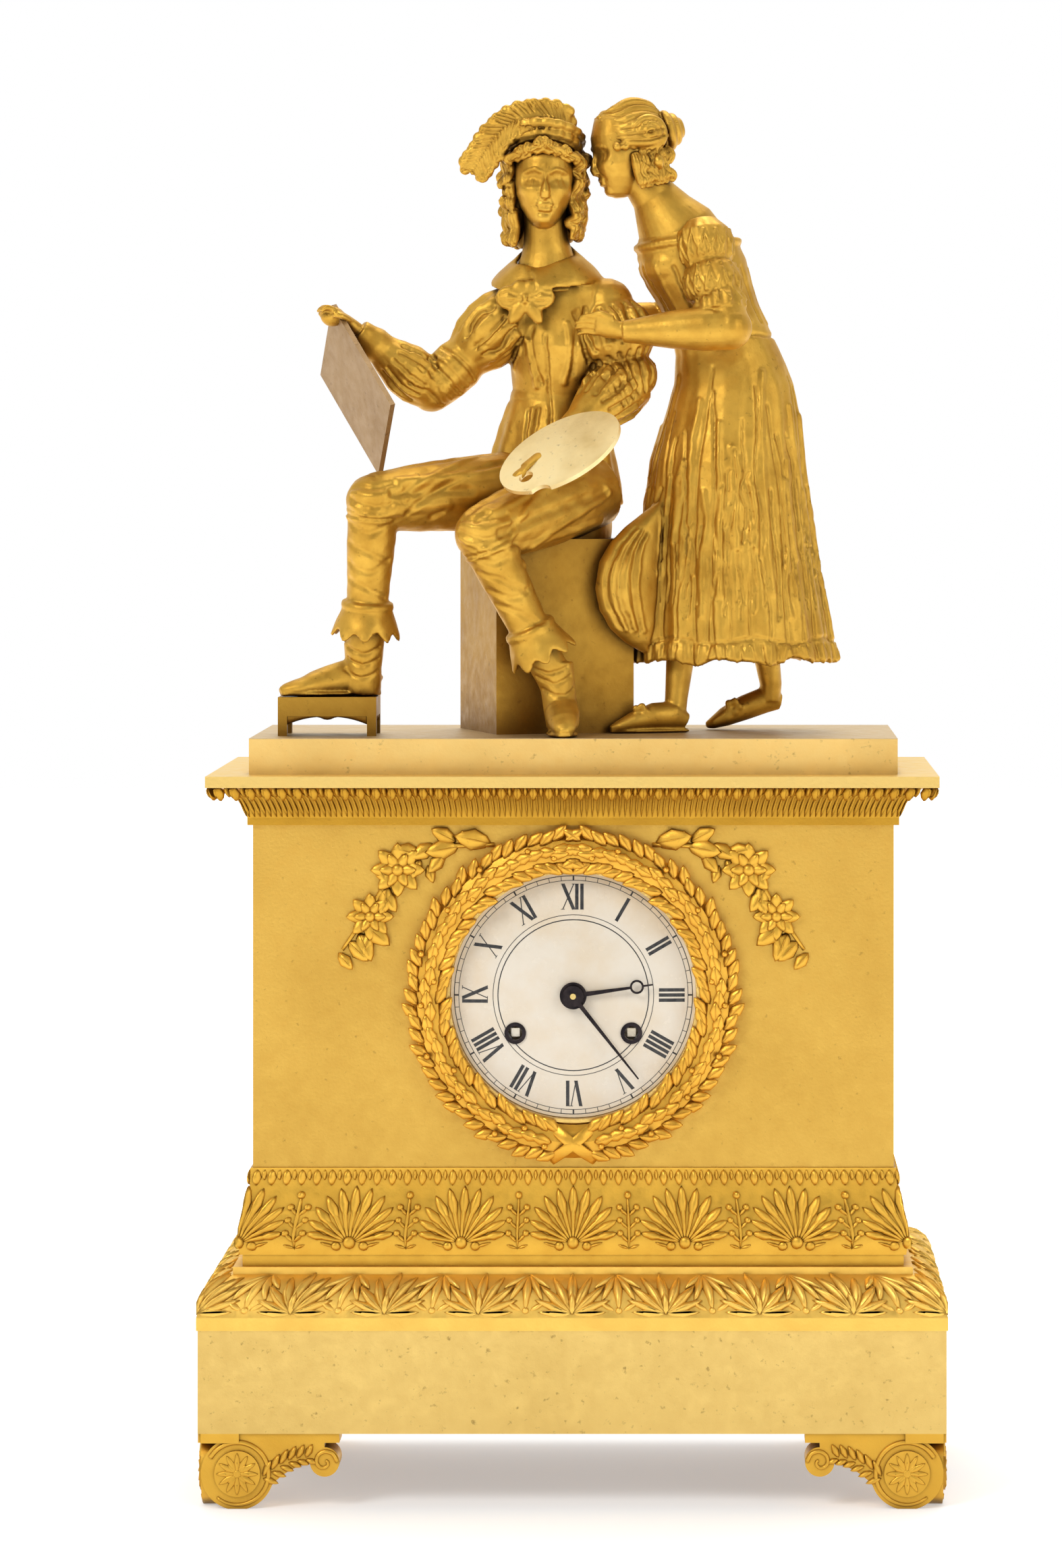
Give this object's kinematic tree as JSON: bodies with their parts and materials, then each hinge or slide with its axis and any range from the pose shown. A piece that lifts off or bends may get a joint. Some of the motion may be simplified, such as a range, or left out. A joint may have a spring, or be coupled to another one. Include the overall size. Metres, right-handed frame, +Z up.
{
  "type": "figural mantel clock",
  "caption": "Gilt-bronze mantel clock with a seated painter and a leaning woman on a stepped case, a round enamel dial in a leaf wreath, a spring movement and a hinged back door.",
  "frame": {"origin": "middle of the footprint, on the floor under the feet", "axes": "+X to the viewer's right, +Y to the back, +Z up; the dial faces -Y"},
  "size_m": [0.255, 0.131, 0.4835],
  "materials": {
    "gilt_bronze": "matte and burnished gilding",
    "wreath_gilt": "red-gold gilding",
    "movement_brass": "satin",
    "bell_metal": "turned",
    "blued_steel": "blued, nearly black",
    "enamel": "gloss"
  },
  "bodies": {
    "case": {"feet": "gilt_bronze", "plinth": "gilt_bronze", "leaf_moulding": "gilt_bronze", "palmette_frieze": "gilt_bronze", "front_panel": "gilt_bronze", "back_panel": "gilt_bronze", "side_panels": "gilt_bronze", "cornice": "gilt_bronze", "terrace": "gilt_bronze", "dial_wreath": "wreath_gilt", "floral_sprays": "gilt_bronze", "seat_block": "gilt_bronze", "footstool": "gilt_bronze", "painter_body": "gilt_bronze", "painter_head": "gilt_bronze", "painter_right_arm": "gilt_bronze", "painter_left_arm": "gilt_bronze", "painter_right_leg": "gilt_bronze", "painter_left_leg": "gilt_bronze", "palette": "gilt_bronze", "drawing_board": "gilt_bronze", "woman_gown": "gilt_bronze", "woman_head": "gilt_bronze", "woman_arms": "gilt_bronze", "woman_feet": "gilt_bronze", "dial_bezel": "gilt_bronze", "dial": "enamel", "front_plate": "movement_brass", "back_plate": "movement_brass", "plate_pillars": "movement_brass", "movement_straps": "movement_brass", "clicks": "blued_steel", "back_cock": "movement_brass", "bell": "bell_metal", "bell_stand": "bell_metal", "back_bezel": "movement_brass", "screws": "blued_steel"},
    "minute_hand": {"minute_hand": "blued_steel", "cannon_pinion": "blued_steel"},
    "minute_wheel": {"minute_wheel": "movement_brass"},
    "hour_hand": {"hour_hand": "blued_steel", "hour_wheel": "movement_brass"},
    "escape_wheel": {"escape_wheel": "blued_steel"},
    "third_wheel": {"third_wheel": "blued_steel"},
    "centre_wheel": {"centre_wheel": "movement_brass"},
    "going_intermediate_wheel": {"going_intermediate_wheel": "movement_brass"},
    "going_barrel": {"going_barrel": "movement_brass"},
    "anchor": {"anchor": "blued_steel"},
    "pendulum": {"pendulum": "movement_brass"},
    "going_winding_arbor": {"going_winding_arbor": "blued_steel"},
    "strike_winding_arbor": {"strike_winding_arbor": "blued_steel"},
    "fly": {"fly": "blued_steel"},
    "warning_wheel": {"warning_wheel": "movement_brass"},
    "locking_wheel": {"locking_wheel": "movement_brass"},
    "pin_wheel": {"pin_wheel": "movement_brass"},
    "strike_second_wheel": {"strike_second_wheel": "movement_brass", "count_wheel": "movement_brass"},
    "strike_barrel": {"strike_barrel": "movement_brass"},
    "hammer": {"hammer": "blued_steel"},
    "back_door": {"back_door": "movement_brass"}
  },
  "joints": [
    {"name": "minute_hand_turn", "type": "hinge", "parent": "case", "child": "minute_hand", "pos_m": [0, 0, 0.1727], "axis": [0, 1, 0], "continuous": true},
    {"name": "minute_wheel_turn", "type": "hinge", "parent": "case", "child": "minute_wheel", "pos_m": [0, 0, 0.1631], "axis": [0, 1, 0], "continuous": true},
    {"name": "hour_hand_turn", "type": "hinge", "parent": "case", "child": "hour_hand", "pos_m": [0, 0, 0.1727], "axis": [0, 1, 0], "continuous": true},
    {"name": "escape_wheel_turn", "type": "hinge", "parent": "case", "child": "escape_wheel", "pos_m": [0, 0, 0.1947], "axis": [0, 1, 0], "continuous": true},
    {"name": "third_wheel_turn", "type": "hinge", "parent": "case", "child": "third_wheel", "pos_m": [-0.00301, 0, 0.18461], "axis": [0, 1, 0], "continuous": true},
    {"name": "centre_wheel_turn", "type": "hinge", "parent": "case", "child": "centre_wheel", "pos_m": [0, 0, 0.1727], "axis": [0, 1, 0], "continuous": true},
    {"name": "going_intermediate_turn", "type": "hinge", "parent": "case", "child": "going_intermediate_wheel", "pos_m": [0.01269, 0, 0.17862], "axis": [0, 1, 0], "continuous": true},
    {"name": "going_barrel_turn", "type": "hinge", "parent": "case", "child": "going_barrel", "pos_m": [0.0199, 0, 0.1597], "axis": [0, 1, 0], "continuous": true},
    {"name": "pendulum_swing", "type": "hinge", "parent": "case", "child": "pendulum", "pos_m": [0, 0, 0.2051], "axis": [0, 1, 0], "range_deg": [-4, 4]},
    {"name": "anchor_rock", "type": "hinge", "parent": "case", "child": "anchor", "pos_m": [0, 0, 0.2051], "axis": [0, 1, 0], "range_deg": [-4, 4]},
    {"name": "going_winding", "type": "hinge", "parent": "case", "child": "going_winding_arbor", "pos_m": [0.0199, 0, 0.1597], "axis": [0, 1, 0], "range_deg": [0, 1800]},
    {"name": "strike_winding", "type": "hinge", "parent": "case", "child": "strike_winding_arbor", "pos_m": [-0.0199, 0, 0.1597], "axis": [0, 1, 0], "range_deg": [0, 1800]},
    {"name": "fly_turn", "type": "hinge", "parent": "case", "child": "fly", "pos_m": [-0.00718, 0, 0.20639], "axis": [0, 1, 0], "continuous": true},
    {"name": "warning_wheel_turn", "type": "hinge", "parent": "case", "child": "warning_wheel", "pos_m": [-0.01354, 0, 0.20342], "axis": [0, 1, 0], "continuous": true},
    {"name": "locking_wheel_turn", "type": "hinge", "parent": "case", "child": "locking_wheel", "pos_m": [-0.0097, 0, 0.19619], "axis": [0, 1, 0], "continuous": true},
    {"name": "pin_wheel_turn", "type": "hinge", "parent": "case", "child": "pin_wheel", "pos_m": [-0.02034, 0, 0.19432], "axis": [0, 1, 0], "continuous": true},
    {"name": "strike_second_turn", "type": "hinge", "parent": "case", "child": "strike_second_wheel", "pos_m": [-0.01778, 0, 0.17984], "axis": [0, 1, 0], "continuous": true},
    {"name": "strike_barrel_turn", "type": "hinge", "parent": "case", "child": "strike_barrel", "pos_m": [-0.0199, 0, 0.1597], "axis": [0, 1, 0], "continuous": true},
    {"name": "hammer_lift", "type": "hinge", "parent": "case", "child": "hammer", "pos_m": [-0.0335, 0, 0.1807], "axis": [0, 1, 0], "range_deg": [0, 20]},
    {"name": "back_door_hinge", "type": "hinge", "parent": "case", "child": "back_door", "pos_m": [-0.052, 0.0507, 0.1727], "axis": [0, 0, 1], "range_deg": [0, 110]}
  ],
  "couplings": [
    {"joint": "minute_wheel_turn", "follows": "minute_hand_turn", "ratio": -0.33333},
    {"joint": "hour_hand_turn", "follows": "minute_hand_turn", "ratio": 0.083333},
    {"joint": "going_barrel_turn", "follows": "centre_wheel_turn", "ratio": 0.020833},
    {"joint": "going_intermediate_turn", "follows": "centre_wheel_turn", "ratio": -0.16667},
    {"joint": "third_wheel_turn", "follows": "centre_wheel_turn", "ratio": -12},
    {"joint": "escape_wheel_turn", "follows": "centre_wheel_turn", "ratio": 144},
    {"joint": "anchor_rock", "follows": "pendulum_swing", "ratio": 1},
    {"joint": "strike_barrel_turn", "follows": "pin_wheel_turn", "ratio": 0.011111},
    {"joint": "strike_second_turn", "follows": "pin_wheel_turn", "ratio": -0.088889},
    {"joint": "locking_wheel_turn", "follows": "pin_wheel_turn", "ratio": -8},
    {"joint": "warning_wheel_turn", "follows": "pin_wheel_turn", "ratio": 64},
    {"joint": "fly_turn", "follows": "pin_wheel_turn", "ratio": -512}
  ]
}
